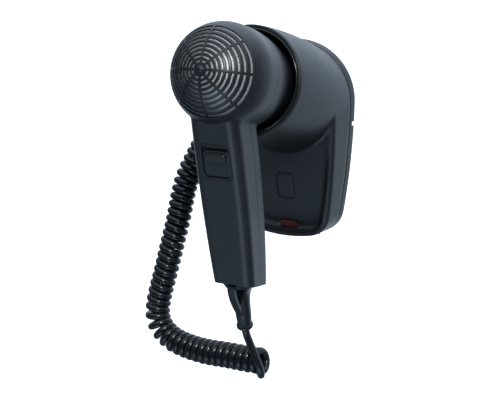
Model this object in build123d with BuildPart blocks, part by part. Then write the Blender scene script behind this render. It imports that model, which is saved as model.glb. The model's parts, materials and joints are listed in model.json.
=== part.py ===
"""Wall holder with a docked hair dryer on a curly cord.

Row frame, millimetres: the wall is the plane Y = 0, the room is towards -Y,
+Z is up, +X is to the right for a person facing the wall. The origin is the
centre of the wall plate's back face.
"""

from build123d import *
import math
import os

os.makedirs("parts", exist_ok=True)

# ---------------------------------------------------------------- dimensions
TILT = 13.56            # upward tilt of the cup and barrel axis, degrees
AXIS_Z = 42.4           # height where that axis meets the wall
R_TOP = 53.6            # top radius of the holder's outline
Z_TOP = 39.0            # centre height of that radius
Z_LOW = -86.93          # lowest point of the outline
PLATE_D = 10.0          # depth of the wall plate's rim
PLATE_T = 3.0           # thickness of its floor
SKIN = 2.4              # wall of the moulded covers and shells
GRILLE_T = 1.2          # wall of the intake grille
SCREEN_R = 34.1         # radius of the pocket that holds the screen
SEAM = 0.15             # half the gap between two mouldings
RIM_D = 116.5           # distance of the cup's rim along the axis
RIM_R = 44.7            # outer radius of the cup's rim
CUP_STEP = 0.3          # step from the lower body to the cup at the plate
BARREL_R = 39.6         # barrel radius
DOME_D = 161.6          # centre of the intake dome along the axis
SEAM_D = 150.0          # barrel seam along the axis
NOSE_D = 47.0           # outlet end along the axis
NOSE_R = 27.5           # outlet radius
H_TOP_V, H_TOP_D = -30.0, 155.6     # handle centre line, upper section
H_LOW_V, H_LOW_D = -163.5, 91.6     # handle centre line, lower end
H_TOP = (39.6, 46.0, 9.5)          # handle section there: width, depth, corner
H_LOW = (35.6, 37.6, 8.0)
H_BOW = (2.8, 2.2)      # extra width and depth of the handle halfway down
WIRE = 6.7              # cord diameter
COIL_OD = 23.6          # outer diameter of the curly cord
LIFT = 84.0             # travel that takes the outlet clear of the cup
SLIDE = 4.2             # travel of the thumb switch
DIP = 3.0               # travel of the dock plunger

ct, st = math.cos(math.radians(TILT)), math.sin(math.radians(TILT))
N = Vector(0, -ct, st)          # along the barrel, out of the cup
V = Vector(0, st, ct)           # across the barrel, upwards
A0 = Vector(0, 0, AXIS_Z)
BARREL = Axis(A0, N)


def at(x, d, v):
    """Row point from barrel coordinates."""
    return A0 + N * d + V * v + Vector(x, 0, 0)


def cross(d):
    """Plane across the barrel at distance d: local x is X, local y is V."""
    return Plane(origin=at(0, d, 0), x_dir=(1, 0, 0), z_dir=N)


SIDE = Plane(origin=A0, x_dir=N, z_dir=(-1, 0, 0))      # local x is d, local y is v


def level(v):
    """Plane along the barrel at height v: local x is X, local y is -d."""
    return Plane(origin=at(0, 0, v), x_dir=(1, 0, 0), z_dir=V)


def finish(piece, name):
    piece.label = name
    export_step(piece, "parts/" + name + ".step")
    print(name, round(piece.volume), len(piece.solids()))


# outline of the holder seen from the room: a round top, slightly bowed sides,
# round lower corners and a shallow bottom, every arc tangent to the next
SIDE_R, SIDE_A = 697.7, 8.34
CORNER_R, CORNER_A = 26.5, 69.795
SIDE_X = SIDE_R * (1 - math.cos(math.radians(SIDE_A)))
CORNER_X = CORNER_R * (math.cos(math.radians(SIDE_A)) - math.cos(math.radians(SIDE_A + CORNER_A)))
BOTTOM_R = (R_TOP - SIDE_X - CORNER_X) / math.cos(math.radians(SIDE_A + CORNER_A))
CS_Z = -81.6            # seat of the cover screws' heads in the lower wall


CUP_SWELL = 0.8         # how much fuller the cup is halfway


def outline():
    a = JernArc((R_TOP, Z_TOP), (0, -1), SIDE_R, -SIDE_A)
    b = JernArc(a @ 1, a % 1, CORNER_R, -CORNER_A)
    c = JernArc(b @ 1, b % 1, BOTTOM_R, -2 * (90 - SIDE_A - CORNER_A))
    d = JernArc(c @ 1, c % 1, CORNER_R, -CORNER_A)
    e = JernArc(d @ 1, d % 1, SIDE_R, -SIDE_A)
    ThreePointArc(e @ 1, (0, Z_TOP + R_TOP), a @ 0)


def wall(y):
    """Plane parallel to the wall at Y = y that faces the room."""
    return Plane(origin=(0, y, 0), x_dir=(1, 0, 0), z_dir=(0, -1, 0))


DRAFT = 7.0             # draft of the holder's side walls, degrees

# ---------------------------------------------------------------- wall plate
with BuildPart() as wall_plate:
    with BuildSketch(wall(0)):
        with BuildLine():
            outline()
        make_face()
    extrude(amount=PLATE_D - SEAM, taper=DRAFT)
    with BuildSketch(wall(-PLATE_T)) as tray:
        with BuildLine():
            outline()
        make_face()
        offset(amount=-3.6)
    extrude(amount=PLATE_D, mode=Mode.SUBTRACT)
    # posts for the cover screws, standing on the floor near the lower edge
    with BuildSketch(wall(-PLATE_T + 0.5)):
        with Locations((-26, CS_Z + 12.3), (26, CS_Z + 12.3)):
            Rectangle(9, 8)
    extrude(amount=13.1)
    # keyholes of the wall screws
    with BuildSketch(wall(1)):
        with Locations((-32, 56), (32, 56), (-32, -54), (32, -54)):
            Circle(2.6)
    extrude(amount=8, mode=Mode.SUBTRACT)
    # entry for the supply cable from the wall box
    with BuildSketch(wall(1)):
        with Locations((0, -32)):
            Circle(10)
    extrude(amount=8, mode=Mode.SUBTRACT)
    # release notch in the right edge
    with BuildSketch(wall(1)):
        with Locations((R_TOP, 20)):
            Rectangle(4, 4)
    extrude(amount=6, mode=Mode.SUBTRACT)
    # pilot holes for the cover screws, upwards into the posts
    with BuildSketch(Plane.XY.offset(CS_Z + 7.3)):
        with Locations((-26, -13), (26, -13)):
            Circle(1.2)
    extrude(amount=7.5, mode=Mode.SUBTRACT)
finish(wall_plate.part, "wall_plate")

# -------------------------------------------------------------- front cover
FRONT_TOP = (-41.0, 20.0)       # front edge plane: Y and Z at its upper point
FRONT_LOW = (-31.0, -92.0)
FLOOR_TOP = (-41.5, 12.0)       # floor of the dished panel
FLOOR_LOW = (-18.8, -75.0)
DISH_FILLET = 5.0               # soft corner round the dish's floor
DISH_DROP = 4.8                 # the dish sits this much lower than the outline

RIM_C = at(0, RIM_D, 0)


def slab(low, top, grow):
    """Everything on the room side of the slanted plane through two points."""
    (y1, z1), (y2, z2) = low, top
    k = (y2 - y1) / (z2 - z1)
    za, zb = -140.0, 140.0
    Polyline(
        (y1 + k * (za - z1) + grow, za),
        (y1 + k * (zb - z1) + grow, zb),
        (-160, zb),
        (-160, za),
        close=True,
    )


YZ = Plane(origin=(0, 0, 0), x_dir=(0, 1, 0), z_dir=(1, 0, 0))      # local x is Y, local y is Z

# lower body of the cover: the drafted outline cut off by the slanted front
with BuildPart() as body_outer:
    with BuildSketch(wall(0)):
        with BuildLine():
            outline()
        make_face()
    extrude(amount=58, taper=DRAFT)
    with BuildSketch(YZ):
        with BuildLine():
            slab(FRONT_LOW, FRONT_TOP, 0)
        make_face()
    extrude(amount=90, both=True, mode=Mode.SUBTRACT)
    front_face = body_outer.faces().filter_by(GeomType.PLANE).sort_by(Axis.Y)[0]
    fillet(front_face.edges(), radius=4.0)

with BuildPart() as body_inner:
    with BuildSketch(wall(0)):
        with BuildLine():
            outline()
        make_face()
        offset(amount=-SKIN)
    extrude(amount=58, taper=DRAFT)
    with BuildSketch(YZ):
        with BuildLine():
            slab(FRONT_LOW, FRONT_TOP, SKIN)
        make_face()
    extrude(amount=90, both=True, mode=Mode.SUBTRACT)


def dish(grow):
    """The dished panel: a tapered pocket with a slanted floor."""
    with BuildPart() as pocket:
        with BuildSketch(Plane(origin=(0, -62, -DISH_DROP), x_dir=(1, 0, 0), z_dir=(0, -1, 0))):
            with BuildLine():
                outline()
            make_face()
            offset(amount=-4.2 + 0.0 + grow)
        extrude(amount=-62, taper=12)
        with BuildSketch(YZ):
            with BuildLine():
                (y1, z1), (y2, z2) = FLOOR_LOW, FLOOR_TOP
                k = (y2 - y1) / (z2 - z1)
                Polyline(
                    (y1 + k * (-140 - z1) + grow, -140),
                    (y1 + k * (140 - z1) + grow, 140),
                    (60, 140),
                    (60, -140),
                    close=True,
                )
            make_face()
        extrude(amount=90, both=True, mode=Mode.SUBTRACT)
    return pocket.part


def cup_loft(inset, back):
    """The cup's outer skin: round rim to the round top of the holder, slightly swollen halfway."""
    r_wall = R_TOP + back * math.tan(math.radians(DRAFT)) - inset - CUP_STEP
    r_rim = RIM_R - inset
    rim = at(0, RIM_D + (0.5 if inset else 0), 0)
    half_plane = Plane(
        origin=(0, (rim.Y + back) / 2, (rim.Z + Z_TOP) / 2 + CUP_SWELL),
        x_dir=(1, 0, 0),
        z_dir=(0, -math.cos(math.radians(TILT / 2)), math.sin(math.radians(TILT / 2))),
    )
    with BuildPart() as cup:
        with BuildSketch(cross(RIM_D + (0.5 if inset else 0))):
            Circle(r_rim)
        with BuildSketch(half_plane):
            Circle((r_rim + r_wall) / 2 + CUP_SWELL)
        with BuildSketch(wall(back)):
            with Locations((0, Z_TOP)):
                Circle(r_wall)
        loft()
    return cup.part


dish_cut = dish(0.0)
dish_inner = dish(SKIN)
cup_outer = cup_loft(0.0, -PLATE_D - SEAM)
cup_inner = cup_loft(SKIN, -PLATE_D - SEAM + 1.0)

with BuildPart() as front_cover:
    add(body_outer.part)
    add(dish_cut, mode=Mode.SUBTRACT)
    # soft corner between the dished panel's floor and its wall
    (fy1, fz1), (fy2, fz2) = FLOOR_LOW, FLOOR_TOP
    floor_edges = [
        e
        for e in front_cover.edges()
        if all(
            abs(e.position_at(t).Y - fy1 - (fy2 - fy1) / (fz2 - fz1) * (e.position_at(t).Z - fz1)) < 0.01
            for t in (0.0, 0.5, 1.0)
        )
    ]
    floor_edges = [e for e in floor_edges if min(e.position_at(t).Z for t in (0.0, 0.5, 1.0)) < 0]
    print("dish floor edges", [round(e.length, 1) for e in floor_edges])
    fillet(floor_edges, radius=DISH_FILLET)
    add(cup_outer)
    # keep what is in front of the wall plate
    with BuildSketch(wall(5)):
        Rectangle(200, 260)
    extrude(amount=5 + PLATE_D + SEAM, mode=Mode.SUBTRACT)
outer_cover = front_cover.part

with BuildPart() as hollow:
    add(body_inner.part)
    add(dish_inner, mode=Mode.SUBTRACT)
    add(cup_inner)

with BuildPart() as front_cover:
    add(outer_cover)
    add(hollow.part, mode=Mode.SUBTRACT)
    # hole for the pilot lens
    with BuildSketch(wall(-8)):
        with Locations((0, -75)):
            SlotOverall(17.2, 6.4)
    extrude(amount=30, mode=Mode.SUBTRACT)
    # hole for the cord gland in the left wall
    with BuildSketch(Plane.YZ.offset(-70)):
        with Locations((-24, 30)):
            Circle(6.0)
    extrude(amount=30, mode=Mode.SUBTRACT)
    # holes for the cover screws in the lower wall
    with BuildSketch(Plane.XY.offset(-96)):
        with Locations((-26, -13), (26, -13)):
            Circle(1.5)
    extrude(amount=CS_Z + 96 + 5.3, mode=Mode.SUBTRACT)
    with BuildSketch(Plane.XY.offset(-96)):
        with Locations((-26, -13), (26, -13)):
            Circle(2.6)
    extrude(amount=CS_Z + 96, mode=Mode.SUBTRACT)
finish(front_cover.part, "front_cover")

# ------------------------------------------------------------ inside the cup
# the lining: a tapered socket with a rolled lip and a closed floor
LINER = ((117.3, 40.6), (112.0, 40.2), (95.0, 34.1), (46.0, 28.1))
with BuildPart() as cup_liner:
    with BuildSketch(SIDE):
        with BuildLine():
            (a1, b1), (a2, b2), (a3, b3), (a4, b4) = LINER
            Line((44, 0), (a4, 0))
            Line((a4, 0), (a4, b4))
            Line((a4, b4), (a3, b3))
            Spline((a3, b3), (104.0, 38.0), (a2, b2), tangents=((49.0, 6.0), (17.0, 1.3)))
            Line((a2, b2), (a1 - 0.8, b1 - 0.1))
            ThreePointArc((a1 - 0.8, b1 - 0.1), (a1, b1 + 0.7), (a1 - 0.8, b1 + 1.55))
            Line((a1 - 0.8, b1 + 1.55), (a2, 42.1))
            Line((a2, 42.1), (a3, 36.4))
            Line((a3, 36.4), (44, 30.4))
            Line((44, 30.4), (44, 0))
        make_face()
    revolve(axis=BARREL)
    with BuildSketch(cross(50)):
        with Locations((0, 26.3)):
            Circle(2.2)
    extrude(amount=-12, mode=Mode.SUBTRACT)
finish(cup_liner.part, "cup_liner")

with BuildPart() as dock_switch:
    with BuildSketch(cross(43.9)):
        with Locations((0, 26.0)):
            Rectangle(20, 10)
    extrude(amount=-12.5)
    with BuildSketch(cross(43.9)):
        with Locations((0, 26.3)):
            Circle(2.15)
    extrude(amount=-9, mode=Mode.SUBTRACT)
finish(dock_switch.part, "dock_switch")

with BuildPart() as dock_plunger:
    with BuildSketch(cross(35.2)):
        with Locations((0, 26.3)):
            Circle(2.0)
    extrude(amount=NOSE_D - 0.4 - 35.2)
    fillet(dock_plunger.faces().sort_by(Axis((0, 0, 0), N))[-1].edges(), radius=0.8)
finish(dock_plunger.part, "dock_plunger")

# ------------------------------------------------- small parts of the holder
with BuildPart() as pilot_lens:
    with BuildSketch(wall(-13.0)):
        with Locations((0, -75)):
            SlotOverall(20, 8.4)
    extrude(amount=1.5)
    with BuildSketch(wall(-14.0)):
        with Locations((0, -75)):
            SlotOverall(17.0, 6.2)
    extrude(amount=6.0)
    fillet(pilot_lens.faces().sort_by(Axis.Y)[0].edges(), radius=1.2)
finish(pilot_lens.part, "pilot_lens")

with BuildPart() as pilot_lamp:
    with BuildSketch(wall(-PLATE_T)):
        with Locations((0, -75)):
            Circle(2.8)
    extrude(amount=9.2)
    fillet(pilot_lamp.faces().sort_by(Axis.Y)[0].edges(), radius=2.0)
finish(pilot_lamp.part, "pilot_lamp")

(fy1, fz1), (fy2, fz2) = FLOOR_LOW, FLOOR_TOP
FLOOR_K = (fy2 - fy1) / (fz2 - fz1)
BADGE_Z = -36.0
PANEL = Plane(
    origin=(0, fy1 + FLOOR_K * (BADGE_Z - fz1), BADGE_Z),
    x_dir=(1, 0, 0),
    z_dir=(0, -1, FLOOR_K),
)
with BuildPart() as badge:
    with BuildSketch(PANEL):
        RectangleRounded(17, 26, 3.5)
    extrude(amount=1.0)
    fillet(badge.faces().sort_by(Axis((0, 0, 0), PANEL.z_dir))[-1].edges(), radius=0.45)
finish(badge.part, "badge")

with BuildPart() as cover_screws:
    for sx in (-26, 26):
        with BuildSketch(Plane.XY.offset(CS_Z)):
            with Locations((sx, -13)):
                Circle(2.4)
        extrude(amount=-1.6)
        with BuildSketch(Plane.XY.offset(CS_Z - 0.1)):
            with Locations((sx, -13)):
                Circle(1.2)
        extrude(amount=14.4)
finish(cover_screws.part, "cover_screws")

# terminal block on the plate, above the cable entry
with BuildPart() as terminal_block:
    with BuildSketch(wall(-PLATE_T)):
        with Locations((0, 2)):
            RectangleRounded(30, 16, 1)
    extrude(amount=11)
    with BuildSketch(wall(-PLATE_T - 11)):
        with Locations((-9, 2), (0, 2), (9, 2)):
            Circle(2.2)
    extrude(amount=-6, mode=Mode.SUBTRACT)
finish(terminal_block.part, "terminal_block")

with BuildPart() as terminal_screws:
    with BuildSketch(wall(-PLATE_T - 5)):
        with Locations((-9, 2), (0, 2), (9, 2)):
            Circle(1.9)
    extrude(amount=4)
finish(terminal_screws.part, "terminal_screws")

# cord gland in the left wall, axis along X
GL_Y, GL_Z = -24.0, 30.0
GLAND = Plane(origin=(0, GL_Y, GL_Z), x_dir=(-1, 0, 0), z_dir=(0, -1, 0))   # local x is -X, local y is Z
with BuildPart() as cord_gland:
    with BuildSketch(GLAND):
        with BuildLine():
            Polyline(
                (44.9, WIRE / 2 + 0.05), (44.9, 7.2), (46.8, 7.2), (46.8, 5.9), (52.0, 5.9),
                (52.0, 8.2), (53.4, 8.2), (54.6, 6.6), (60.0, 4.6), (61.0, 4.6),
                (61.0, WIRE / 2 + 0.05), close=True,
            )
        make_face()
    revolve(axis=Axis((0, GL_Y, GL_Z), (1, 0, 0)))
finish(cord_gland.part, "cord_gland")

# saddle that grips the cord inside the holder, on a post of its own
with BuildPart() as holder_clamp:
    with BuildSketch(wall(-PLATE_T)):
        with Locations((-30, GL_Z)):
            Rectangle(9, 22)
    extrude(amount=-GL_Y - PLATE_T + 5.6)
    with BuildSketch(Plane.YZ.offset(-40)):
        with Locations((GL_Y, GL_Z)):
            Circle(WIRE / 2 + 0.05)
    extrude(amount=20, mode=Mode.SUBTRACT)
    with BuildSketch(wall(GL_Y - 5.6)):
        with Locations((-30, GL_Z - 7.5), (-30, GL_Z + 7.5)):
            Circle(1.3)
    extrude(amount=-14, mode=Mode.SUBTRACT)
finish(holder_clamp.part, "holder_clamp")

with BuildPart() as holder_clamp_screws:
    with BuildSketch(wall(GL_Y - 5.6)):
        with Locations((-30, GL_Z - 7.5), (-30, GL_Z + 7.5)):
            Circle(2.4)
    extrude(amount=1.6)
    with BuildSketch(wall(GL_Y - 5.7)):
        with Locations((-30, GL_Z - 7.5), (-30, GL_Z + 7.5)):
            Circle(1.3)
    extrude(amount=-12)
finish(holder_clamp_screws.part, "holder_clamp_screws")

# ----------------------------------------------------------------- dryer
def barrel_profile(inset):
    """Half section of the barrel from the outlet to the tip of the dome."""
    r = BARREL_R - inset
    s = 0.0 if not inset else -3.0
    Polyline((NOSE_D + s, 0), (NOSE_D + s, NOSE_R - inset), (116.5, 36.0 - inset))
    ThreePointArc((116.5, 36.0 - inset), (134.0, 38.45 - inset), (SEAM_D, r))
    Line((SEAM_D, r), (DOME_D, r))
    ThreePointArc(
        (DOME_D, r),
        (DOME_D + r * math.sin(math.radians(45)), r * math.cos(math.radians(45))),
        (DOME_D + r, 0),
    )
    Line((DOME_D + r, 0), (NOSE_D + s, 0))


def handle_at(v, inset):
    f = (v - H_TOP_V) / (H_LOW_V - H_TOP_V)
    bow = 4 * f * (1 - f)
    w = H_TOP[0] + (H_LOW[0] - H_TOP[0]) * f + H_BOW[0] * bow - 2 * inset
    h = H_TOP[1] + (H_LOW[1] - H_TOP[1]) * f + H_BOW[1] * bow - 2 * inset
    r = H_TOP[2] + (H_LOW[2] - H_TOP[2]) * f - inset
    d = H_TOP_D + (H_LOW_D - H_TOP_D) * f - H_BOW[1] * bow / 2
    return w, h, r, d


def handle_loft(inset, v_low):
    with BuildPart() as grip:
        for k in range(5):
            v = H_TOP_V + (v_low - H_TOP_V) * k / 4
            w, h, r, d = handle_at(v, inset)
            with BuildSketch(level(v)):
                with Locations((0, -d)):
                    RectangleRounded(w, h, r)
        loft()
    return grip.part


grip_outer = handle_loft(0.0, H_LOW_V)
grip_inner = handle_loft(SKIN, H_LOW_V + SKIN)

with BuildPart() as dryer_outer:
    with BuildSketch(SIDE):
        with BuildLine():
            barrel_profile(0.0)
        make_face()
    revolve(axis=BARREL)
    add(grip_outer)


def near_joint(edge):
    p = edge @ 0.5
    q = p - A0
    v = q.dot(V)
    r = math.hypot(q.X, v)
    return -60 < v < -20 and r < 42 and q.dot(N) > 120


joint_edges = [e for e in dryer_outer.edges() if near_joint(e) and e.geom_type != GeomType.CIRCLE]
print("joint edges", len(joint_edges), [str(e.geom_type) for e in joint_edges])
blended = dryer_outer.part
for radius in (5.0, 4.0, 3.0, 2.0):
    try:
        with BuildPart() as trial:
            add(dryer_outer.part)
            picked = [e for e in trial.edges() if near_joint(e) and e.geom_type != GeomType.CIRCLE]
            fillet(picked, radius=radius)
        if trial.part.is_valid:
            blended = trial.part
            print("handle blend radius", radius)
            break
    except Exception as error:
        print("no blend at", radius, type(error).__name__)

with BuildPart() as dryer_inner:
    with BuildSketch(SIDE):
        with BuildLine():
            barrel_profile(SKIN)
        make_face()
    revolve(axis=BARREL)
    add(grip_inner)

# posts for the shell screws, each from one shell towards the other
SCREW_V = (-100.0, -138.0)
SEAM_LINE = ((SEAM_D, 60.0), (SEAM_D, -35.5), (143.4, -42.6), (75.9, -198.5))


def seam_d(v):
    (d1, v1), (d2, v2) = SEAM_LINE[2], SEAM_LINE[3]
    return d1 + (v - v1) * (d2 - d1) / (v2 - v1)


def half(front):
    """Space in front of the split surface, or behind it."""
    g = SEAM if front else -SEAM
    far = 260.0 if front else 0.0
    with BuildPart() as space:
        with BuildSketch(SIDE):
            with BuildLine():
                Polyline(
                    *[(d + g, v) for d, v in SEAM_LINE],
                    (far, -198.5), (far, 60.0), close=True,
                )
            make_face()
        extrude(amount=70, both=True)
    return space.part


with BuildPart() as shell:
    add(blended)
    add(dryer_inner.part, mode=Mode.SUBTRACT)
shell_part = shell.part

with BuildPart() as posts:
    for v in SCREW_V:
        w, h, r, d = handle_at(v, 0.0)
        with BuildSketch(cross(d - h / 2 + 1.0)):
            with Locations((0, v)):
                Circle(4.0)
        extrude(amount=h - 2.0)
    add(blended, mode=Mode.INTERSECT)

# frame of the switch on the handle's front
FRONT_K = ((H_LOW_D + H_LOW[1] / 2) - (H_TOP_D + H_TOP[1] / 2)) / (H_LOW_V - H_TOP_V)
fl = math.hypot(1, FRONT_K)
SW_V = -65.0
SW_D = H_TOP_D + H_TOP[1] / 2 + (SW_V - H_TOP_V) * FRONT_K
SW_N = N * (1 / fl) - V * (FRONT_K / fl)
SW = Plane(origin=at(0, SW_D, SW_V), x_dir=(1, 0, 0), z_dir=SW_N)    # local y runs up the handle


def sw(z):
    return SW.offset(z)


# frame of the strain relief under the handle
SR_TOP = Vector(0, -128.6, -97.0)
SR_END = Vector(0, -118.7, -137.8)
SR_A = (SR_END - SR_TOP).normalized()
SR_LEN = (SR_END - SR_TOP).length
SRP = Plane(origin=SR_TOP, x_dir=(1, 0, 0), z_dir=SR_A)
CLAMP_S = -16.6
CF = Plane(origin=SR_TOP + SR_A * CLAMP_S, x_dir=(1, 0, 0), z_dir=(0, SR_A.Z, -SR_A.Y))

# seat of the cord clamp, standing on the rear shell
with BuildPart() as seat:
    with BuildSketch(CF.offset(-0.3)):
        Rectangle(22, 9)
    extrude(amount=-26)
    add(blended, mode=Mode.INTERSECT)

with BuildPart() as intake_shell:
    add(shell_part)
    add(posts.part)
    add(half(True), mode=Mode.INTERSECT)
    # grille: ring slots crossed by eight spokes
    with BuildSketch(cross(DOME_D + 14)) as slots:
        for k in range(9):
            r_in = 31.6 - 3.3 * k
            Circle(r_in + 1.6)
            Circle(r_in, mode=Mode.SUBTRACT)
        with Locations(*[Location((0, 0), 45 * k) for k in range(4)]):
            Rectangle(80, 1.5, mode=Mode.SUBTRACT)
    extrude(amount=40, mode=Mode.SUBTRACT)
    # the wall is thinner behind the slots, where the screen is let in
    with BuildSketch(SIDE):
        with BuildLine():
            ro, ri = BARREL_R - GRILLE_T, BARREL_R - SKIN - 1.0
            a1 = math.asin(SCREEN_R / ro)
            a2 = math.asin(SCREEN_R / ri)
            Line((DOME_D + ri, 0), (DOME_D + ro, 0))
            ThreePointArc(
                (DOME_D + ro, 0),
                (DOME_D + ro * math.cos(a1 / 2), ro * math.sin(a1 / 2)),
                (DOME_D + ro * math.cos(a1), SCREEN_R),
            )
            Line((DOME_D + ro * math.cos(a1), SCREEN_R), (DOME_D + ri * math.cos(a2), SCREEN_R))
            ThreePointArc(
                (DOME_D + ri * math.cos(a2), SCREEN_R),
                (DOME_D + ri * math.cos(a2 / 2), ri * math.sin(a2 / 2)),
                (DOME_D + ri, 0),
            )
        make_face()
    revolve(axis=BARREL, mode=Mode.SUBTRACT)
    # small rounded boss in the middle
    with BuildSketch(SIDE):
        with BuildLine():
            d = DOME_D + BARREL_R
            Line((d - 0.6, 0), (d + 1.2, 0))
            ThreePointArc((d + 1.2, 0), (d + 0.75, 1.9), (d - 0.6, 2.9))
            Line((d - 0.6, 2.9), (d - 0.6, 0))
        make_face()
    revolve(axis=BARREL)
    # window of the switch
    with BuildSketch(sw(3)):
        RectangleRounded(25.2, 29.2, 4.5)
    extrude(amount=-9, mode=Mode.SUBTRACT)
    # pilot holes of the shell screws
    for v in SCREW_V:
        with BuildSketch(cross(seam_d(v) - 2)):
            with Locations((0, v)):
                Circle(1.2)
        extrude(amount=14, mode=Mode.SUBTRACT)
    # round the strain relief's neck
    with BuildSketch(SRP.offset(-9.4)):
        Circle(6.6)
    extrude(amount=20, mode=Mode.SUBTRACT)
finish(intake_shell.part, "intake_shell")

with BuildPart() as tongue:
    with BuildSketch(SIDE):
        with BuildLine():
            Polyline(
                (SEAM_D - 3.0, BARREL_R - SKIN + 0.3), (SEAM_D - 0.3, BARREL_R - SKIN + 0.3),
                (SEAM_D - 0.1, BARREL_R - SKIN - 0.1), (SEAM_D + 3.0, BARREL_R - SKIN - 0.1),
                (SEAM_D + 3.0, BARREL_R - SKIN - 1.1), (SEAM_D - 3.0, BARREL_R - SKIN - 1.1), close=True,
            )
        make_face()
    revolve(axis=BARREL)
    add(grip_inner, mode=Mode.SUBTRACT)
    with BuildSketch(level(-25)):
        with Locations((0, -SEAM_D)):
            Rectangle(44, 40)
    extrude(amount=-30, mode=Mode.SUBTRACT)

with BuildPart() as outlet_shell:
    add(shell_part)
    add(posts.part)
    add(seat.part)
    add(half(False), mode=Mode.INTERSECT)
    add(tongue.part)
    # screw holes with deep counterbores from behind the handle
    for v in SCREW_V:
        w, h, r, d = handle_at(v, 0.0)
        with BuildSketch(cross(d - h / 2 - 6)):
            with Locations((0, v)):
                Circle(1.5)
        extrude(amount=60, mode=Mode.SUBTRACT)
        with BuildSketch(cross(d - h / 2 - 6)):
            with Locations((0, v)):
                Circle(2.9)
        extrude(amount=14, mode=Mode.SUBTRACT)
    with BuildSketch(SRP.offset(-24)):
        Circle(WIRE / 2 + 0.05)
    extrude(amount=40, mode=Mode.SUBTRACT)
    with BuildSketch(SRP.offset(-9.4)):
        Circle(6.6)
    extrude(amount=20, mode=Mode.SUBTRACT)
    with BuildSketch(CF.offset(5)):
        with Locations((-7.2, 0), (7.2, 0)):
            Circle(1.2)
    extrude(amount=-13, mode=Mode.SUBTRACT)
finish(outlet_shell.part, "outlet_shell")

with BuildPart() as shell_screws:
    for v in SCREW_V:
        w, h, r, d = handle_at(v, 0.0)
        head = d - h / 2 + 8.0
        with BuildSketch(cross(head)):
            with Locations((0, v)):
                Circle(2.6)
        extrude(amount=-2.2)
        with BuildSketch(cross(head - 0.1)):
            with Locations((0, v)):
                Circle(1.2)
        extrude(amount=seam_d(v) + 11.0 - head)
finish(shell_screws.part, "shell_screws")

# bright domed screen behind the slots
with BuildPart() as intake_screen:
    with BuildSketch(SIDE):
        with BuildLine():
            ro, ri = BARREL_R - GRILLE_T - 0.1, BARREL_R - GRILLE_T - 0.8
            a1 = math.asin(33.8 / ro)
            a2 = math.asin(33.8 / ri)
            Line((DOME_D + ri, 0), (DOME_D + ro, 0))
            ThreePointArc(
                (DOME_D + ro, 0),
                (DOME_D + ro * math.cos(a1 / 2), ro * math.sin(a1 / 2)),
                (DOME_D + ro * math.cos(a1), 33.8),
            )
            Line((DOME_D + ro * math.cos(a1), 33.8), (DOME_D + ri * math.cos(a2), 33.8))
            ThreePointArc(
                (DOME_D + ri * math.cos(a2), 33.8),
                (DOME_D + ri * math.cos(a2 / 2), ri * math.sin(a2 / 2)),
                (DOME_D + ri, 0),
            )
        make_face()
    revolve(axis=BARREL)
finish(intake_screen.part, "intake_screen")

# ---------------------------------------------------- fan, motor and heater
DUCT_R = 33.0
MOTOR_R = 13.4
with BuildPart() as fan_duct:
    with BuildSketch(cross(119)):
        Circle(DUCT_R)
        Circle(DUCT_R - 1.4, mode=Mode.SUBTRACT)
    extrude(amount=53)
    with BuildSketch(cross(124)):
        Circle(MOTOR_R + 1.4)
        Circle(MOTOR_R, mode=Mode.SUBTRACT)
    extrude(amount=26)
    with BuildSketch(cross(124)):
        with PolarLocations((DUCT_R - 1.0 + MOTOR_R + 1.0) / 2, 6, start_angle=15):
            Rectangle(DUCT_R - MOTOR_R - 1.6, 1.4)
    extrude(amount=24)
    # locating ring behind the tongue of the rear shell
    with BuildSketch(cross(154)):
        Circle(BARREL_R - SKIN - 1.3)
        Circle(DUCT_R - 0.2, mode=Mode.SUBTRACT)
    extrude(amount=2)
finish(fan_duct.part, "fan_duct")

with BuildPart() as motor:
    with BuildSketch(cross(125)):
        Circle(MOTOR_R)
    extrude(amount=27)
    with BuildSketch(cross(152)):
        Circle(4.5)
    extrude(amount=1.6)
    with BuildSketch(cross(138)):
        Circle(1.03)
    extrude(amount=20, mode=Mode.SUBTRACT)
finish(motor.part, "motor")

with BuildPart() as motor_shaft:
    with BuildSketch(cross(138.3)):
        Circle(1.0)
    extrude(amount=34)
finish(motor_shaft.part, "motor_shaft")

with BuildPart() as impeller:
    with BuildSketch(cross(155.5)):
        Circle(8)
    extrude(amount=15)
    fillet(impeller.faces().sort_by(Axis((0, 0, 0), N))[-1].edges(), radius=3)
    for k in range(7):
        t = math.radians(360 / 7 * k)
        radial = Vector(math.cos(t), 0, 0) + V * math.sin(t)
        around = Vector(-math.sin(t), 0, 0) + V * math.cos(t)
        tilt = math.radians(38)
        normal = N * math.cos(tilt) + around * math.sin(tilt)
        blade = Plane(origin=at(0, 163, 0) + radial * 18.6, x_dir=radial, z_dir=normal)
        with BuildSketch(blade):
            Rectangle(23.6, 14)
        extrude(amount=0.6, both=True)
    with BuildSketch(cross(150)):
        Circle(1.0)
    extrude(amount=30, mode=Mode.SUBTRACT)
finish(impeller.part, "impeller")

with BuildPart() as heater_frame:
    with BuildSketch(cross(52)):
        Rectangle(40.8, 1)
        Rectangle(1, 40.8)
    extrude(amount=60)
finish(heater_frame.part, "heater_frame")

with BuildPart() as heater_coils:
    with BuildSketch(SIDE):
        with Locations(*[(58 + 6.5 * k, 21.3) for k in range(8)]):
            Circle(0.7)
    revolve(axis=BARREL)
finish(heater_coils.part, "heater_coils")

with BuildPart() as heater_sleeve:
    with BuildSketch(cross(52)):
        Circle(23.2)
        Circle(22.6, mode=Mode.SUBTRACT)
    extrude(amount=64)
finish(heater_sleeve.part, "heater_sleeve")

with BuildPart() as thermal_cutout:
    with BuildSketch(cross(97)):
        with Locations((6.5, 4.5)):
            Rectangle(9, 5)
    extrude(amount=12)
finish(thermal_cutout.part, "thermal_cutout")

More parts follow.
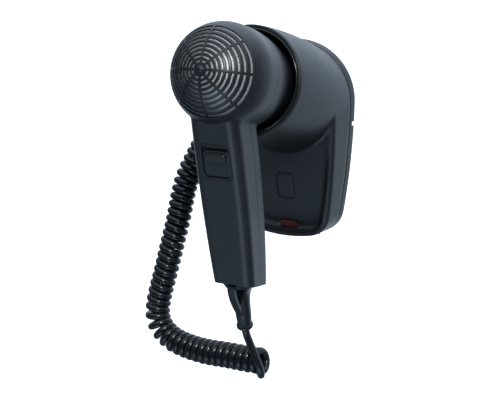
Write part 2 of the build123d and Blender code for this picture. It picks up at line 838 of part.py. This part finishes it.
with BuildPart() as outlet_grille:
    with BuildSketch(cross(48.2)):
        for r_out in (25.0, 19.0, 13.0, 7.0):
            Circle(r_out)
            Circle(r_out - 1.4, mode=Mode.SUBTRACT)
        with Locations(*[Location((0, 0), 45 * k) for k in range(4)]):
            Rectangle(49, 1.2)
    extrude(amount=2.4)
finish(outlet_grille.part, "outlet_grille")

# ------------------------------------------------------------------ switch
with BuildPart() as switch_frame:
    with BuildSketch(sw(0.3)):
        RectangleRounded(24.9, 28.9, 4.3)
    extrude(amount=-5.6)
    with BuildSketch(sw(-5.3)):
        RectangleRounded(28.5, 32.5, 5)
    extrude(amount=1.4)
    with BuildSketch(sw(0.3)):
        RectangleRounded(22.3, 26.4, 3.2)
    extrude(amount=-3.6, mode=Mode.SUBTRACT)
    with BuildSketch(sw(0.3)):
        with Locations((0, 0)):
            Rectangle(6.4, 13)
    extrude(amount=-8, mode=Mode.SUBTRACT)
finish(switch_frame.part, "switch_frame")

with BuildPart() as switch_slider:
    with BuildSketch(sw(-3.2)):
        with Locations((0, -2.2)):
            RectangleRounded(21.7, 21.4, 2.8)
    extrude(amount=2.6)
    fillet(switch_slider.faces().sort_by(Axis((0, 0, 0), SW_N))[-1].edges(), radius=0.7)
    with BuildSketch(sw(-1.2)):
        with Locations((0, 3.4)):
            RectangleRounded(18, 7.6, 3.4)
    extrude(amount=3.0)
    fillet(switch_slider.faces().sort_by(Axis((0, 0, 0), SW_N))[-1].edges(), radius=1.1)
    with BuildSketch(sw(-3.0)):
        with Locations((0, -2.6)):
            Rectangle(5.8, 6)
    extrude(amount=-4.2)
finish(switch_slider.part, "switch_slider")

with BuildPart() as switch_body:
    with BuildSketch(sw(-7.8)):
        Rectangle(17, 27)
    extrude(amount=-12)
finish(switch_body.part, "switch_body")

# ----------------------------------------------------------- strain relief
with BuildPart() as strain_relief:
    with BuildSketch(Plane(origin=SR_TOP, x_dir=SR_A, z_dir=(1, 0, 0))):
        with BuildLine():
            Polyline((-9.0, 2.9), (-9.0, 14.4), (-6.0, 13.9))
            Spline((-6.0, 13.9), (-1.0, 11.8), (4.0, 9.3), (10.0, 7.7), (20.0, 6.8), (38.0, 5.9))
            Polyline((38.0, 5.9), (38.5, 6.8), (39.3, 7.1), (41.0, 7.1), (SR_LEN, 6.5), (SR_LEN, 2.9), (-9.0, 2.9))
        make_face()
    revolve(axis=Axis(SR_TOP, SR_A))
    # flush with the handle's lower face
    with BuildSketch(level(H_LOW_V - 0.05)):
        with Locations((0, -95)):
            Rectangle(80, 80)
    extrude(amount=40, mode=Mode.SUBTRACT)
    # neck through the handle's floor, with a collar inside
    with BuildSketch(SRP.offset(-11.9)):
        Circle(6.4)
    extrude(amount=14)
    with BuildSketch(SRP.offset(-11.9)):
        Circle(8.2)
    extrude(amount=2.2)
    # hanging loop in front of the neck
    with BuildSketch(YZ):
        with BuildLine():
            Spline((-147.2, -91.4), (-146.2, -97.4), (-142.0, -106.4), (-135.6, -115.6), (-128.6, -124.0))
            Polyline((-128.6, -124.0), (-124.5, -121.0), (-130.0, -95.6), (-147.2, -91.4))
        make_face()
    extrude(amount=3.1, both=True)
    # the loop's eye, open on both sides past the flare
    with BuildSketch(YZ):
        with BuildLine():
            Spline((-143.8, -95.2), (-142.9, -98.4), (-139.6, -105.6), (-134.6, -112.4))
            Polyline((-134.6, -112.4), (-132.6, -110.8), (-134.9, -98.4), (-136.6, -96.6), (-143.8, -95.2))
        make_face()
    extrude(amount=14, both=True, mode=Mode.SUBTRACT)
    with BuildSketch(SRP.offset(-14)):
        Circle(WIRE / 2 + 0.05)
    extrude(amount=SR_LEN + 20, mode=Mode.SUBTRACT)
finish(strain_relief.part, "strain_relief")

with BuildPart() as handle_lead:
    with BuildSketch(SRP.offset(-22)):
        Circle(WIRE / 2)
    extrude(amount=22 + SR_LEN)
finish(handle_lead.part, "handle_lead")

with BuildPart() as handle_clamp:
    with BuildSketch(CF.offset(0.3)):
        Rectangle(20, 8)
    extrude(amount=5.4)
    with BuildSketch(SRP.offset(-24)):
        Circle(WIRE / 2 + 0.05)
    extrude(amount=24, mode=Mode.SUBTRACT)
    with BuildSketch(CF.offset(8)):
        with Locations((-7.2, 0), (7.2, 0)):
            Circle(1.5)
    extrude(amount=-10, mode=Mode.SUBTRACT)
finish(handle_clamp.part, "handle_clamp")

with BuildPart() as handle_clamp_screws:
    with BuildSketch(CF.offset(5.7)):
        with Locations((-7.2, 0), (7.2, 0)):
            Circle(2.3)
    extrude(amount=1.5)
    with BuildSketch(CF.offset(5.8)):
        with Locations((-7.2, 0), (7.2, 0)):
            Circle(1.2)
    extrude(amount=-12.5)
finish(handle_clamp_screws.part, "handle_clamp_screws")

# -------------------------------------------------------------------- cord
# centre line of the curly part, from below the gland to its lower right end
COIL = [
    (-76.0, -28.3, 10.0),
    (-79.4, -31.8, -3.0),
    (-85.2, -38.0, -17.0),
    (-91.0, -44.8, -32.5),
    (-92.8, -52.0, -48.5),
    (-93.2, -60.3, -70.0),
    (-96.8, -67.6, -94.0),
    (-100.6, -74.0, -119.0),
    (-105.8, -80.0, -144.5),
    (-104.8, -85.3, -164.0),
    (-90.0, -89.6, -176.4),
    (-70.5, -94.0, -179.4),
    (-46.5, -98.5, -179.2),
    (-22.0, -102.8, -175.6),
    (-1.0, -106.6, -174.0),
    (12.0, -108.3, -172.0),
]
# plain lead from inside the holder through the gland and down to the curly part
LEAD = [
    (-16.7, GL_Y, GL_Z),
    (-68.4, GL_Y, GL_Z),
    (-77.0, -25.6, 21.8),
    (-76.0, -28.3, 10.0),
]
# plain tail from the strain relief into the first turn of the curly part
TAIL = [
    tuple(SR_END + SR_A * 0.3),
    tuple(SR_END + SR_A * 7.5 + Vector(0.2, 0, 0)),
    (4.8, -117.4, -155.0),
    (10.2, -118.8, -165.4),
    (14.2, -118.8, -174.8),
    (13.8, -115.0, -183.2),
    (8.8, -108.8, -182.8),
]


def route(points, width, name):
    vs = [Vector(*p) for p in points]
    radii = []
    for i in range(1, len(vs) - 1):
        a, b = vs[i] - vs[i - 1], vs[i + 1] - vs[i]
        turn = a.get_angle(b)
        radii.append(0.45 * min(a.length, b.length) / math.tan(math.radians(turn / 2)))
        print(name, i, "turn", round(turn, 1), "runs", round(a.length, 1), round(b.length, 1), "radius", round(radii[-1], 1))
    with BuildPart() as tube:
        with BuildLine() as path:
            FilletPolyline(*[tuple(v) for v in vs], radius=radii)
        length = sum(e.length for e in path.edges())
        with BuildSketch(Plane(origin=vs[0], z_dir=(vs[1] - vs[0]))):
            Circle(width / 2)
        sweep(path=path.wires()[0])
    print(name, "length", round(length, 1), "volume ratio", round(tube.part.volume / (math.pi * width**2 / 4 * length), 4))
    return tube.part


coil_cord = route(COIL, COIL_OD, "coil_cord")
finish(coil_cord, "coil_cord")
cord_tail = route(TAIL, WIRE, "cord_tail")
finish(cord_tail, "cord_tail")

cord_lead = route(LEAD, WIRE, "cord_lead")
finish(cord_lead, "cord_lead")
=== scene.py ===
import json
import math

import bpy
import numpy as np
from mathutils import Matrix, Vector


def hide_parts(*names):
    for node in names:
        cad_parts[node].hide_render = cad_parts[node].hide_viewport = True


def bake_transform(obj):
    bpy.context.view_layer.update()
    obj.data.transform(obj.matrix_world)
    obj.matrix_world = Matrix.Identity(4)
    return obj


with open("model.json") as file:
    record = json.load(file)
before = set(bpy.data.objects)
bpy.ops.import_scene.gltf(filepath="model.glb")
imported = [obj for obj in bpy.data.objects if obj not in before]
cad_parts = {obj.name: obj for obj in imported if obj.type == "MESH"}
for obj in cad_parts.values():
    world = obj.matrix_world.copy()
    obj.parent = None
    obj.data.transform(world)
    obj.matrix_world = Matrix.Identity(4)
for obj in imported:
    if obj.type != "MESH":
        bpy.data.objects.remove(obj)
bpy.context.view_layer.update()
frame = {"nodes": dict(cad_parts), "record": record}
nodes = frame["nodes"]
scene = bpy.context.scene
MM = 0.001

# ------------------------------------------------------------------ camera
cam_data = bpy.data.cameras.new("camera")
cam = bpy.data.objects.new("camera", cam_data)
scene.collection.objects.link(cam)
cam.location = (0.2892, -0.761, 0.175)
cam.rotation_euler = (math.radians(74.05), 0, math.radians(23.9))
cam_data.sensor_width = 36
cam_data.lens = 64.91
cam_data.clip_start = 0.01
cam_data.clip_end = 50
scene.camera = cam


# --------------------------------------------------------------- materials
def new_material(name):
    m = bpy.data.materials.new(name)
    m.use_nodes = True
    nt = m.node_tree
    for n in list(nt.nodes):
        nt.nodes.remove(n)
    out = nt.nodes.new("ShaderNodeOutputMaterial")
    bsdf = nt.nodes.new("ShaderNodeBsdfPrincipled")
    nt.links.new(bsdf.outputs["BSDF"], out.inputs["Surface"])
    return m, nt, bsdf


def noise(nt, coord, scale, detail=3.0, rough=0.55):
    n = nt.nodes.new("ShaderNodeTexNoise")
    n.inputs["Scale"].default_value = scale
    n.inputs["Detail"].default_value = detail
    n.inputs["Roughness"].default_value = rough
    nt.links.new(coord, n.inputs["Vector"])
    return n.outputs["Fac"]


def ramp(nt, fac, stops):
    r = nt.nodes.new("ShaderNodeValToRGB")
    e = r.color_ramp.elements
    while len(e) > 2:
        e.remove(e[-1])
    e[0].position, e[0].color = stops[0][0], (*stops[0][1], 1)
    e[1].position, e[1].color = stops[-1][0], (*stops[-1][1], 1)
    for p, c in stops[1:-1]:
        x = e.new(p)
        x.color = (*c, 1)
    nt.links.new(fac, r.inputs["Fac"])
    return r.outputs["Color"]


def span(nt, fac, lo, hi):
    r = nt.nodes.new("ShaderNodeMapRange")
    r.inputs["To Min"].default_value = lo
    r.inputs["To Max"].default_value = hi
    nt.links.new(fac, r.inputs["Value"])
    return r.outputs["Result"]


def bump(nt, bsdf, height, strength, distance, soften=0.0):
    b = nt.nodes.new("ShaderNodeBump")
    b.inputs["Strength"].default_value = strength
    b.inputs["Distance"].default_value = distance
    nt.links.new(height, b.inputs["Height"])
    if soften:
        # moulded corners, inner and outer, are never quite sharp
        v = nt.nodes.new("ShaderNodeBevel")
        v.samples = 8
        v.inputs["Radius"].default_value = soften
        nt.links.new(v.outputs["Normal"], b.inputs["Normal"])
    nt.links.new(b.outputs["Normal"], bsdf.inputs["Normal"])
    return b


def moulded(name, dark, light, r_lo, r_hi, grain=2600, depth=0.00003, strength=0.35, coat=0.0, spec=0.5, soften=0.0):
    """Moulded plastic: slight mottling, fine moulded grain and uneven gloss."""
    m, nt, bsdf = new_material(name)
    tc = nt.nodes.new("ShaderNodeTexCoord").outputs["Object"]
    mottle = noise(nt, tc, 38, 4)
    nt.links.new(ramp(nt, mottle, [(0.3, dark), (0.72, light)]), bsdf.inputs["Base Color"])
    nt.links.new(span(nt, noise(nt, tc, 90, 3), r_lo, r_hi), bsdf.inputs["Roughness"])
    bump(nt, bsdf, noise(nt, tc, grain, 2), strength, depth, soften)
    bsdf.inputs["Specular IOR Level"].default_value = spec
    bsdf.inputs["Coat Weight"].default_value = coat
    bsdf.inputs["Coat Roughness"].default_value = 0.12
    return m


def metal(name, dark, light, r_lo, r_hi, stretch=(1, 1, 30)):
    m, nt, bsdf = new_material(name)
    tc = nt.nodes.new("ShaderNodeTexCoord").outputs["Object"]
    mp = nt.nodes.new("ShaderNodeMapping")
    mp.inputs["Scale"].default_value = stretch
    nt.links.new(tc, mp.inputs["Vector"])
    n = noise(nt, mp.outputs["Vector"], 400, 4)
    nt.links.new(ramp(nt, n, [(0.3, dark), (0.7, light)]), bsdf.inputs["Base Color"])
    nt.links.new(span(nt, n, r_lo, r_hi), bsdf.inputs["Roughness"])
    bump(nt, bsdf, n, 0.2, 0.00002)
    bsdf.inputs["Metallic"].default_value = 1.0
    return m


MAT = {
    "holder_plastic": moulded("holder_plastic", (0.0085, 0.0112, 0.0145), (0.0120, 0.0155, 0.0200), 0.36, 0.44, soften=0.0045),
    "dryer_plastic": moulded("dryer_plastic", (0.0085, 0.0112, 0.0145), (0.0120, 0.0155, 0.0200), 0.33, 0.41, soften=0.0006),
    "liner_plastic": moulded("liner_plastic", (0.0110, 0.0135, 0.0170), (0.0150, 0.0185, 0.0230), 0.14, 0.20, strength=0.12, soften=0.0008),
    "switch_plastic": moulded("switch_plastic", (0.0085, 0.0110, 0.0140), (0.0120, 0.0152, 0.0190), 0.24, 0.32, soften=0.0006),
    "inner_plastic": moulded("inner_plastic", (0.44, 0.42, 0.37), (0.52, 0.50, 0.45), 0.45, 0.55, grain=1500),
    "cord_pvc": moulded("cord_pvc", (0.0060, 0.0080, 0.0105), (0.0085, 0.0112, 0.0145), 0.20, 0.28, grain=1500, strength=0.10),
    "mica": moulded("mica", (0.40, 0.32, 0.17), (0.58, 0.50, 0.32), 0.5, 0.65, grain=700),
    "screw_steel": metal("screw_steel", (0.48, 0.48, 0.47), (0.62, 0.62, 0.61), 0.28, 0.4),
    "motor_steel": metal("motor_steel", (0.38, 0.38, 0.39), (0.52, 0.52, 0.53), 0.32, 0.45),
    "heater_wire": metal("heater_wire", (0.36, 0.30, 0.24), (0.52, 0.46, 0.40), 0.3, 0.45),
    "cutout_body": metal("cutout_body", (0.55, 0.55, 0.56), (0.70, 0.70, 0.71), 0.3, 0.4),
}
# perforated screen: bright dull metal with rows of small round holes, painted on; each hole is a near-black spot,
# painted shade standing in for the dark seen through it
m, nt, bsdf = new_material("screen_metal")
tc = nt.nodes.new("ShaderNodeTexCoord").outputs["Object"]
painted_dark_holes = nt.nodes.new("ShaderNodeTexVoronoi")
painted_dark_holes.inputs["Scale"].default_value = 780
painted_dark_holes.inputs["Randomness"].default_value = 0.15
nt.links.new(tc, painted_dark_holes.inputs["Vector"])
# hole centres painted near-black as painted shade, the rest of the screen its own bright metal
nt.links.new(ramp(nt, painted_dark_holes.outputs["Distance"], [(0.22, (0.05, 0.05, 0.055)), (0.32, (0.52, 0.53, 0.55))]), bsdf.inputs["Base Color"])
nt.links.new(span(nt, noise(nt, tc, 200, 3), 0.42, 0.52), bsdf.inputs["Roughness"])
bump(nt, bsdf, painted_dark_holes.outputs["Distance"], 0.3, 0.0001)
bsdf.inputs["Metallic"].default_value = 0.4
MAT["screen_metal"] = m
# tinted lens and lamp glass
m, nt, bsdf = new_material("lens_red")
tc = nt.nodes.new("ShaderNodeTexCoord").outputs["Object"]
nt.links.new(ramp(nt, noise(nt, tc, 120, 3), [(0.3, (0.080, 0.0140, 0.0190)), (0.7, (0.110, 0.0190, 0.0260))]), bsdf.inputs["Base Color"])
nt.links.new(span(nt, noise(nt, tc, 200, 2), 0.06, 0.12), bsdf.inputs["Roughness"])
bsdf.inputs["Transmission Weight"].default_value = 0.25
bsdf.inputs["IOR"].default_value = 1.49
MAT["lens_red"] = m
m, nt, bsdf = new_material("lamp_glass")
tc = nt.nodes.new("ShaderNodeTexCoord").outputs["Object"]
nt.links.new(ramp(nt, noise(nt, tc, 300, 2), [(0.3, (0.80, 0.44, 0.26)), (0.7, (0.92, 0.60, 0.40))]), bsdf.inputs["Base Color"])
nt.links.new(span(nt, noise(nt, tc, 200, 2), 0.04, 0.09), bsdf.inputs["Roughness"])
bsdf.inputs["Transmission Weight"].default_value = 0.8
MAT["lamp_glass"] = m

slot_of = {s["node"]: s["material_slot"] for s in frame["record"]["subparts"]}
for name, ob in nodes.items():
    ob.data.materials.clear()
    ob.data.materials.append(MAT[slot_of[name]])

# -------------------------------------------------------------------- cord
# centre line of the curly part, from below the gland to its lower right end
COIL = [
    (-76.0, -28.3, 10.0),
    (-79.4, -31.8, -3.0),
    (-85.2, -38.0, -17.0),
    (-91.0, -44.8, -32.5),
    (-92.8, -52.0, -48.5),
    (-93.2, -60.3, -70.0),
    (-96.8, -67.6, -94.0),
    (-100.6, -74.0, -119.0),
    (-105.8, -80.0, -144.5),
    (-104.8, -85.3, -164.0),
    (-90.0, -89.6, -176.4),
    (-70.5, -94.0, -179.4),
    (-46.5, -98.5, -179.2),
    (-22.0, -102.8, -175.6),
    (-1.0, -106.6, -174.0),
    (12.0, -108.3, -172.0),
]
# plain lead from inside the holder through the gland and down to the curly part
LEAD = [
    (-16.7, -24.0, 30.0),
    (-68.4, -24.0, 30.0),
    (-77.0, -25.6, 21.8),
    (-76.0, -28.3, 10.0),
]
# plain tail from the strain relief into the first turn of the curly part
TAIL = [
    (0.0, -118.63, -138.09),
    (0.2, -116.93, -145.09),
    (4.8, -117.4, -155.0),
    (10.2, -118.8, -165.4),
    (14.2, -118.8, -174.8),
    (13.8, -115.0, -183.2),
    (8.8, -108.8, -182.8),
]
WIRE = 6.7 * MM
COIL_R = 8.45 * MM
HELIX_N = 16


def nurbs(name, points, resolution, bevel=0.0):
    cu = bpy.data.curves.new(name, "CURVE")
    cu.dimensions = "3D"
    cu.resolution_u = resolution
    cu.bevel_depth = bevel
    cu.bevel_resolution = 5
    cu.use_fill_caps = bevel > 0
    sp = cu.splines.new("NURBS")
    sp.points.add(len(points) - 1)
    for p, c in zip(sp.points, points):
        p.co = (c[0], c[1], c[2], 1)
    sp.order_u = 3
    sp.use_endpoint_u = True
    ob = bpy.data.objects.new(name, cu)
    scene.collection.objects.link(ob)
    return ob


def mesh_of(ob):
    bpy.context.view_layer.update()
    return bpy.data.meshes.new_from_object(ob)


def drop(ob):
    data = ob.data
    bpy.data.objects.remove(ob)
    bpy.data.curves.remove(data)


def line_of(name, points, resolution):
    ob = nurbs(name, points, resolution)
    me = mesh_of(ob)
    line = np.array([v.co for v in me.vertices], float)
    bpy.data.meshes.remove(me)
    drop(ob)
    return line


coil = line_of("coil_route", [[c * MM for c in p] for p in COIL], 40)
seg = np.linalg.norm(np.diff(coil, axis=0), axis=1)
along = np.concatenate([[0], np.cumsum(seg)])
L = along[-1]
fine = np.linspace(0, L, 2001)
base = np.stack([np.interp(fine, along, coil[:, k]) for k in range(3)], 1)
tang = np.gradient(base, fine, axis=0)
tang /= np.linalg.norm(tang, axis=1)[:, None]
# curvature, evened over two turns
curv = np.linalg.norm(np.gradient(tang, fine, axis=0), axis=1)
kern = np.hanning(81)
curv = np.convolve(np.pad(curv, 40, "edge"), kern / kern.sum(), "valid")
# a frame carried along the route without twist
n1 = np.zeros_like(base)
n1[0] = np.cross(tang[0], [0.0, 0.0, 1.0])
n1[0] /= np.linalg.norm(n1[0])
for i in range(1, len(base)):
    v = n1[i - 1] - tang[i] * (n1[i - 1] @ tang[i])
    n1[i] = v / np.linalg.norm(v)
n2 = np.cross(tang, n1)
# the turns lie side by side, and fan out on the outside of a bend
pitch = np.maximum(6.95 * MM, 6.76 * MM / np.maximum(1 - 0.5 * COIL_R * curv, 0.25))
turns = np.concatenate([[0], np.cumsum(0.5 * (1 / pitch[1:] + 1 / pitch[:-1]) * np.diff(fine))])
# the phase puts the last turn at the bottom, where the tail hooks into it
down = np.array([0.0, -0.25, -1.0])
down -= tang[-1] * (down @ tang[-1])
end_angle = math.atan2(down @ n2[-1], down @ n1[-1])
angle = end_angle + 2 * math.pi * (turns[-1] - turns)      # left-handed
steps = int(round(turns[-1] * HELIX_N))
at = np.interp(np.linspace(0, turns[-1], steps + 1), turns, fine)


def pick(values):
    return np.stack([np.interp(at, fine, values[:, k]) for k in range(3)], 1)


b, u, w = pick(base), pick(n1), pick(n2)
a = np.interp(at, fine, angle)
grow = np.clip(np.linspace(0, turns[-1], steps + 1) / 1.1, 0, 1)
grow = grow * grow * (3 - 2 * grow)
r = COIL_R / 0.981 * grow
helix = b + (np.cos(a)[:, None] * u + np.sin(a)[:, None] * w) * r[:, None]
# inside the holder only the stretch in the gland is needed
lead = np.array([(-42.0, -24.0, 30.0)] + LEAD[1:-1]) * MM
tail = np.array(TAIL[::-1]) * MM
inside = np.array([(0.0, -118.7 + 0.2358 * -9, -137.8 + 0.9718 * 9)]) * MM
route = np.vstack([lead, helix, tail, inside])
line = line_of("cord_route", route, 4)
tube = nurbs("cord_tube", route, 4, WIRE / 2)
cord_mesh = mesh_of(tube)
drop(tube)
cord_mesh.name = "curly_cord"
cord_mesh.materials.clear()
cord_mesh.materials.append(MAT["cord_pvc"])
for p in cord_mesh.polygons:
    p.use_smooth = True
cord = bpy.data.objects.new("curly_cord", cord_mesh)
scene.collection.objects.link(cord)
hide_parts("coil_cord", "cord_tail", "cord_lead")
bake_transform(cord)

# ------------------------------------------------------------------- stage
bpy.ops.mesh.primitive_grid_add(x_subdivisions=2, y_subdivisions=2, size=60, location=(0, 0, -0.62))
floor = bpy.context.object
floor.name = "floor"
m, nt, bsdf = new_material("floor_paint")
tc = nt.nodes.new("ShaderNodeTexCoord").outputs["Object"]
nt.links.new(ramp(nt, noise(nt, tc, 1.5, 2), [(0.2, (0.90, 0.90, 0.90)), (0.8, (0.93, 0.93, 0.93))]), bsdf.inputs["Base Color"])
bsdf.inputs["Roughness"].default_value = 0.9
bsdf.inputs["Specular IOR Level"].default_value = 0.0
bsdf.inputs["Emission Color"].default_value = (1, 1, 1, 1)
bsdf.inputs["Emission Strength"].default_value = 0.7
floor.data.materials.append(m)
floor.visible_glossy = False
floor.visible_diffuse = False


def softbox(name, place, target, size, watts, colour=(1, 1, 1)):
    d = bpy.data.lights.new(name, "AREA")
    d.shape = "RECTANGLE"
    d.size, d.size_y = size
    d.energy = watts
    d.color = colour
    o = bpy.data.objects.new(name, d)
    scene.collection.objects.link(o)
    o.location = place
    o.rotation_euler = (Vector(target) - Vector(place)).to_track_quat("-Z", "Y").to_euler()
    return o


softbox("key", (0.62, -1.05, 0.80), (-0.03, -0.12, -0.03), (0.16, 0.16), 10.5)

# room: brightest behind, less so on the right, unlit towards the front and left
world = bpy.data.worlds.new("world")
scene.world = world
world.use_nodes = True
wn = world.node_tree
for n in list(wn.nodes):
    wn.nodes.remove(n)


def wmath(op, a, b=None, c=None):
    n = wn.nodes.new("ShaderNodeMath")
    n.operation = op
    for k, v in enumerate((a, b, c)):
        if v is None:
            continue
        if isinstance(v, (int, float)):
            n.inputs[k].default_value = v
        else:
            wn.links.new(v, n.inputs[k])
    return n.outputs[0]


def rise(x, lo, hi):
    n = wn.nodes.new("ShaderNodeMapRange")
    n.interpolation_type = "SMOOTHSTEP"
    n.inputs["From Min"].default_value = lo
    n.inputs["From Max"].default_value = hi
    wn.links.new(x, n.inputs["Value"])
    return n.outputs["Result"]


def tint(value, colour):
    n = wn.nodes.new("ShaderNodeVectorMath")
    n.operation = "SCALE"
    n.inputs[0].default_value = colour
    wn.links.new(value, n.inputs["Scale"])
    return n.outputs[0]


def plus(a, b):
    n = wn.nodes.new("ShaderNodeVectorMath")
    n.operation = "ADD"
    wn.links.new(a, n.inputs[0])
    wn.links.new(b, n.inputs[1])
    return n.outputs[0]


sep = wn.nodes.new("ShaderNodeSeparateXYZ")
wn.links.new(wn.nodes.new("ShaderNodeTexCoord").outputs["Generated"], sep.inputs[0])
X, Y, Z = sep.outputs
front = wmath("MULTIPLY", Y, -1.0)
below = wmath("MULTIPLY", Z, -1.0)
side = wmath("MULTIPLY_ADD", Y, 0.87, wmath("MULTIPLY", X, 0.5))
wall = wmath("MULTIPLY", rise(side, 0.55, 0.95), wmath("MULTIPLY_ADD", rise(Z, -0.55, 0.05), 0.65, 0.35))
back = wmath("MULTIPLY", rise(Y, 0.2, 0.9), wmath("MULTIPLY_ADD", rise(X, 0.08, 0.40), -0.52, 1.0))
top = rise(Z, 0.35, 0.95)
low = wmath("MULTIPLY", rise(below, 0.35, 0.68), rise(front, 0.0, 0.5))
strip = wmath("MULTIPLY", rise(X, -0.12, 0.02), wmath("SUBTRACT", 1.0, rise(X, 0.26, 0.40)))
strip = wmath("MULTIPLY", strip, wmath("MULTIPLY", rise(below, 0.30, 0.50), rise(front, 0.30, 0.50)))
strip = wmath("MULTIPLY", strip, wmath("SUBTRACT", 1.0, rise(below, 0.72, 0.82)))
total = plus(tint(wall, (0.17, 0.21, 0.25)), tint(back, (0.70, 0.84, 0.98)))
total = plus(total, tint(top, (0.98, 1.05, 1.17)))
total = plus(total, tint(low, (0.28, 0.37, 0.48)))
total = plus(total, tint(strip, (1.60, 1.95, 2.25)))
ahead = wmath("MULTIPLY", rise(front, 0.5, 0.85), wmath("SUBTRACT", 1.0, rise(below, 0.40, 0.65)))
total = plus(total, tint(wmath("MULTIPLY_ADD", ahead, -0.6, 1.0), (0.13, 0.165, 0.21)))
wo = wn.nodes.new("ShaderNodeOutputWorld")
lit = wn.nodes.new("ShaderNodeBackground")
wn.links.new(total, lit.inputs["Color"])
lit.inputs["Strength"].default_value = 1.0
plain = wn.nodes.new("ShaderNodeBackground")
plain.inputs["Color"].default_value = (1, 1, 1, 1)
plain.inputs["Strength"].default_value = 1.0
swap = wn.nodes.new("ShaderNodeMixShader")
wn.links.new(wn.nodes.new("ShaderNodeLightPath").outputs["Is Camera Ray"], swap.inputs["Fac"])
wn.links.new(lit.outputs[0], swap.inputs[1])
wn.links.new(plain.outputs[0], swap.inputs[2])
wn.links.new(swap.outputs[0], wo.inputs["Surface"])
scene.view_settings.view_transform = "Standard"
